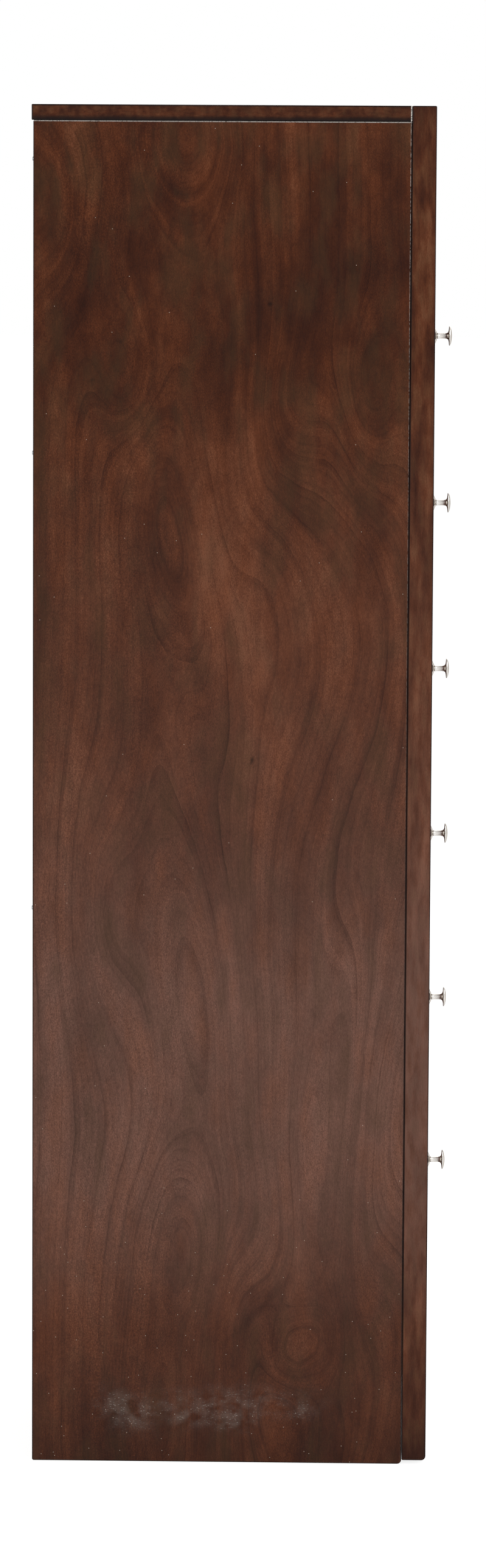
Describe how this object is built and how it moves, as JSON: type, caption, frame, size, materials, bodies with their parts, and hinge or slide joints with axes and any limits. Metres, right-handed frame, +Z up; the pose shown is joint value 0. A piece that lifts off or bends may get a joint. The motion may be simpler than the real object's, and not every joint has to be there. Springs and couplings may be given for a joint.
{
  "type": "semainier",
  "caption": "Tall narrow chest of drawers with a dark stained case, inset drawer fronts in a face frame and small round metal knobs.",
  "frame": {"origin": "centre of the whole object's base, on the floor", "axes": "+Z up, the drawers open towards -Y, +X to the right for someone facing the drawers from the front"},
  "size_m": [0.508, 0.4844, 1.575],
  "materials": {
    "stained_veneer": "satin",
    "stained_edge": "satin",
    "stained_top": "satin",
    "stained_front": "satin",
    "frame_wood": "matte",
    "back_ply": "matte",
    "drawer_box_wood": "satin",
    "drawer_bottom_ply": "matte",
    "polished_nickel": "polished"
  },
  "bodies": {
    "case": {"left_side_panel": "stained_veneer", "left_stile": "stained_edge", "left_top_cleat": "frame_wood", "right_side_panel": "stained_veneer", "right_stile": "stained_edge", "right_top_cleat": "frame_wood", "top_panel": "stained_top", "top_rail": "stained_edge", "apron": "stained_edge", "back_panel": "back_ply", "rear_top_rail": "frame_wood", "rear_base_rail": "frame_wood", "drawer_frame_1": "frame_wood", "drawer_frame_2": "frame_wood", "drawer_frame_3": "frame_wood", "drawer_frame_4": "frame_wood", "drawer_frame_5": "frame_wood", "drawer_frame_6": "frame_wood", "drawer_frame_7": "frame_wood"},
    "drawer_1": {"drawer_1_front": "stained_front", "drawer_1_left_side": "drawer_box_wood", "drawer_1_right_side": "drawer_box_wood", "drawer_1_back": "drawer_box_wood", "drawer_1_bottom": "drawer_bottom_ply"},
    "drawer_2": {"drawer_2_front": "stained_front", "drawer_2_left_side": "drawer_box_wood", "drawer_2_right_side": "drawer_box_wood", "drawer_2_back": "drawer_box_wood", "drawer_2_bottom": "drawer_bottom_ply", "drawer_2_knob": "polished_nickel"},
    "drawer_3": {"drawer_3_front": "stained_front", "drawer_3_left_side": "drawer_box_wood", "drawer_3_right_side": "drawer_box_wood", "drawer_3_back": "drawer_box_wood", "drawer_3_bottom": "drawer_bottom_ply", "drawer_3_knob": "polished_nickel"},
    "drawer_4": {"drawer_4_front": "stained_front", "drawer_4_left_side": "drawer_box_wood", "drawer_4_right_side": "drawer_box_wood", "drawer_4_back": "drawer_box_wood", "drawer_4_bottom": "drawer_bottom_ply", "drawer_4_knob": "polished_nickel"},
    "drawer_5": {"drawer_5_front": "stained_front", "drawer_5_left_side": "drawer_box_wood", "drawer_5_right_side": "drawer_box_wood", "drawer_5_back": "drawer_box_wood", "drawer_5_bottom": "drawer_bottom_ply", "drawer_5_knob": "polished_nickel"},
    "drawer_6": {"drawer_6_front": "stained_front", "drawer_6_left_side": "drawer_box_wood", "drawer_6_right_side": "drawer_box_wood", "drawer_6_back": "drawer_box_wood", "drawer_6_bottom": "drawer_bottom_ply", "drawer_6_knob": "polished_nickel"},
    "drawer_7": {"drawer_7_front": "stained_front", "drawer_7_left_side": "drawer_box_wood", "drawer_7_right_side": "drawer_box_wood", "drawer_7_back": "drawer_box_wood", "drawer_7_bottom": "drawer_bottom_ply", "drawer_7_knob": "polished_nickel"}
  },
  "joints": [
    {"name": "drawer_1_slide", "type": "slide", "parent": "case", "child": "drawer_1", "axis": [0, -1, 0], "range_m": [0, 0.3]},
    {"name": "drawer_2_slide", "type": "slide", "parent": "case", "child": "drawer_2", "axis": [0, -1, 0], "range_m": [0, 0.3]},
    {"name": "drawer_3_slide", "type": "slide", "parent": "case", "child": "drawer_3", "axis": [0, -1, 0], "range_m": [0, 0.3]},
    {"name": "drawer_4_slide", "type": "slide", "parent": "case", "child": "drawer_4", "axis": [0, -1, 0], "range_m": [0, 0.3]},
    {"name": "drawer_5_slide", "type": "slide", "parent": "case", "child": "drawer_5", "axis": [0, -1, 0], "range_m": [0, 0.3]},
    {"name": "drawer_6_slide", "type": "slide", "parent": "case", "child": "drawer_6", "axis": [0, -1, 0], "range_m": [0, 0.3]},
    {"name": "drawer_7_slide", "type": "slide", "parent": "case", "child": "drawer_7", "axis": [0, -1, 0], "range_m": [0, 0.3]}
  ]
}
